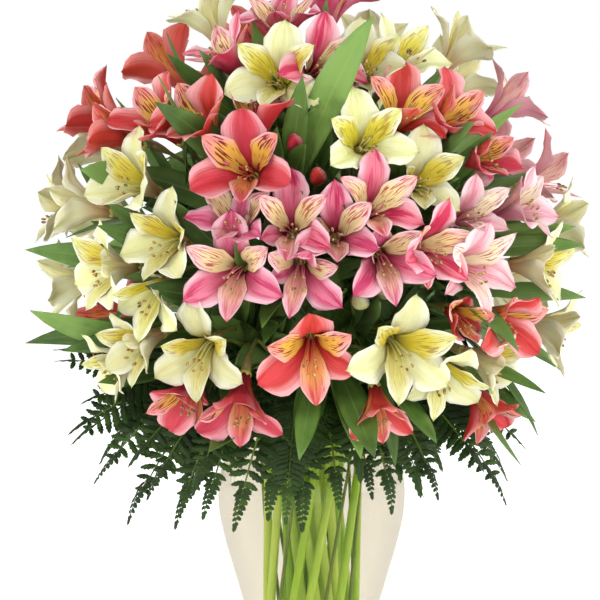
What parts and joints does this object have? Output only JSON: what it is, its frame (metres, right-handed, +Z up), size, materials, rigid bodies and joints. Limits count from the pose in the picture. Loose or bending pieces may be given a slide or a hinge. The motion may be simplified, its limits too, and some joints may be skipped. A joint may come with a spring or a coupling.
{
  "type": "vase of cut alstroemeria stems",
  "caption": "Round mixed bouquet of cut alstroemeria in cream, coral and pink with leatherleaf fern, standing in water in a clear waisted glass vase.",
  "frame": {"origin": "middle of the flat underside of the vase", "axes": "+Z up, the front of the bouquet looks along -Y, +X to the right seen from the front"},
  "size_m": [0.3681, 0.3299, 0.4807],
  "materials": {
    "petal_cream": "soft matt petal, pale greenish cream with a yellow throat",
    "petal_coral": "soft matt petal, coral red with a yellow striped throat",
    "petal_pink": "soft matt petal, pink with deep pink edges and tips",
    "petal_pale": "soft matt petal, pale pink with cream striped inner petals",
    "stem_green": "satin green stem and leaves",
    "fern_green": "leathery dark green frond",
    "vase_glass": "clear blown glass",
    "water": "clear water"
  },
  "bodies": {
    "root": {"vase": "vase_glass", "water": "water", "stem_cream_top": "stem_green", "stem_coral_upper_left": "stem_green", "stem_pink_left": "stem_green", "stem_cream_lower_right": "stem_green", "stem_coral_low": "stem_green", "stem_pink_centre": "stem_green", "stem_cream_centre": "stem_green", "stem_coral_upper_right": "stem_green", "stem_pale_right": "stem_green", "stem_cream_left": "stem_green", "stem_pink_crown": "stem_green", "stem_cream_crown": "stem_green", "stem_coral_far_left": "stem_green", "stem_cream_lower_left": "stem_green", "stem_coral_low_left": "stem_green", "stem_coral_right": "stem_green", "stem_cream_far_right": "stem_green", "stem_coral_back_top": "stem_green", "stem_cream_back_top": "stem_green", "stem_pale_back": "stem_green", "stem_pink_back": "stem_green", "stem_cream_back_left": "stem_green", "stem_coral_back_low": "stem_green", "stem_cream_back_low": "stem_green", "blooms_cream_top": "petal_cream", "blooms_coral_upper_left": "petal_coral", "blooms_pink_left": "petal_pink", "blooms_cream_lower_right": "petal_cream", "blooms_coral_low": "petal_coral", "blooms_pink_centre": "petal_pink", "blooms_cream_centre": "petal_cream", "blooms_coral_upper_right": "petal_coral", "blooms_pale_right": "petal_pale", "blooms_cream_left": "petal_cream", "blooms_pink_crown": "petal_pink", "blooms_cream_crown": "petal_cream", "blooms_coral_far_left": "petal_coral", "blooms_cream_lower_left": "petal_cream", "blooms_coral_low_left": "petal_coral", "blooms_coral_right": "petal_coral", "blooms_cream_far_right": "petal_cream", "blooms_coral_back_top": "petal_coral", "blooms_cream_back_top": "petal_cream", "blooms_pale_back": "petal_pale", "blooms_pink_back": "petal_pink", "blooms_cream_back_left": "petal_cream", "blooms_coral_back_low": "petal_coral", "blooms_cream_back_low": "petal_cream", "fern_far_left": "fern_green", "fern_left": "fern_green", "fern_front_left": "fern_green", "fern_front": "fern_green", "fern_front_right": "fern_green", "fern_right": "fern_green", "fern_back_right": "fern_green", "fern_back": "fern_green", "fern_back_left": "fern_green"}
  },
  "joints": []
}
